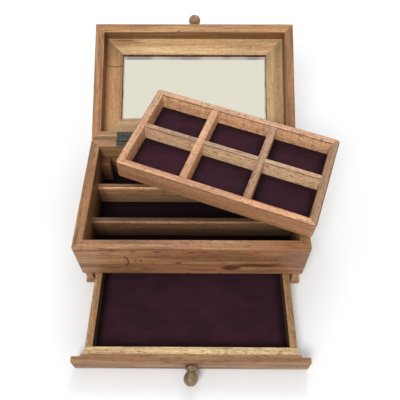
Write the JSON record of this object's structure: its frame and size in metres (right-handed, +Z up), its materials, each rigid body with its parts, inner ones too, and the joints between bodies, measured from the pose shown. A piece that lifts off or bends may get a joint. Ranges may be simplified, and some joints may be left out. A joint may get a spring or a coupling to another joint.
{
  "type": "vanity box with mirror",
  "caption": "Wooden vanity box with a hinged mirror lid, a lift-out divided tray over long compartments, and a drawer in its base.",
  "frame": {"origin": "middle of the base's flat underside, on the table", "axes": "+Z up; -Y is the front, where the drawer and its knob are; +X is the right-hand side seen from the front"},
  "size_m": [0.2982, 0.4383, 0.1534],
  "materials": {
    "case_wood": "satin hand-rubbed hardwood with open pores and dark streaks",
    "frame_wood": "satin, a little yellower and lighter than the case",
    "inner_wood": "satin hardwood, darker where it is unpolished",
    "pale_wood": "satin sapwood, pale with brown flecks",
    "tray_wood": "satin hardwood, warm orange-pink",
    "knob_wood": "turned hardwood, satin",
    "velvet": "short-pile velvet, dark aubergine",
    "hinge_metal": "dark antiqued metal with a green-grey cast",
    "mirror": "plain silvered mirror",
    "backing_card": "plain brown board"
  },
  "bodies": {
    "box": {"case_front": "case_wood", "case_back": "case_wood", "case_left": "case_wood", "case_right": "case_wood", "case_floor": "inner_wood", "case_velvet_front": "velvet", "case_velvet_middle": "velvet", "case_velvet_back": "velvet", "divider_front": "inner_wood", "divider_back": "inner_wood", "tray_post_front_left": "inner_wood", "tray_post_front_right": "inner_wood", "tray_post_back_left": "inner_wood", "tray_post_back_right": "inner_wood", "base_left": "case_wood", "base_right": "case_wood", "base_back": "case_wood", "base_panel": "inner_wood", "drawer_guide_left": "inner_wood", "drawer_guide_right": "inner_wood", "hinge_case_leaf_left": "hinge_metal", "hinge_case_leaf_right": "hinge_metal", "hinge_pin_left": "hinge_metal", "hinge_pin_right": "hinge_metal", "hinge_screws_case": "hinge_metal"},
    "drawer": {"drawer_front": "case_wood", "drawer_inner_front": "pale_wood", "drawer_left": "inner_wood", "drawer_right": "inner_wood", "drawer_back": "inner_wood", "drawer_bottom": "inner_wood", "drawer_velvet": "velvet", "drawer_knob": "knob_wood"},
    "lid": {"lid_top": "case_wood", "lid_front": "case_wood", "lid_back": "case_wood", "lid_left": "case_wood", "lid_right": "case_wood", "mirror_frame_front": "frame_wood", "mirror_frame_back": "frame_wood", "mirror_frame_left": "frame_wood", "mirror_frame_right": "frame_wood", "mirror_glass": "mirror", "mirror_card": "backing_card", "lid_knob": "knob_wood", "hinge_lid_leaf_left": "hinge_metal", "hinge_lid_leaf_right": "hinge_metal", "hinge_screws_lid": "hinge_metal"},
    "tray": {"tray_front": "tray_wood", "tray_back": "tray_wood", "tray_left": "tray_wood", "tray_right": "tray_wood", "tray_divider_long": "tray_wood", "tray_divider_cross_left": "tray_wood", "tray_divider_cross_right": "tray_wood", "tray_bottom": "inner_wood", "tray_velvet": "velvet"}
  },
  "joints": [
    {"name": "drawer_slide", "type": "slide", "parent": "box", "child": "drawer", "axis": [0, 1, 0], "range_m": [-0.02, 0.094]},
    {"name": "lid_hinge", "type": "hinge", "parent": "box", "child": "lid", "pos_m": [0, 0.077, 0.0835], "axis": [1, 0, 0], "range_deg": [0, 153]},
    {"name": "tray_lift", "type": "slide", "parent": "box", "child": "tray", "axis": [0, -0.9, 0.4359], "range_m": [0, 0.3]}
  ],
  "couplings": [
    {"joint": "tray_lift", "follows": "lid_hinge", "m_per_rad": 0.11}
  ]
}
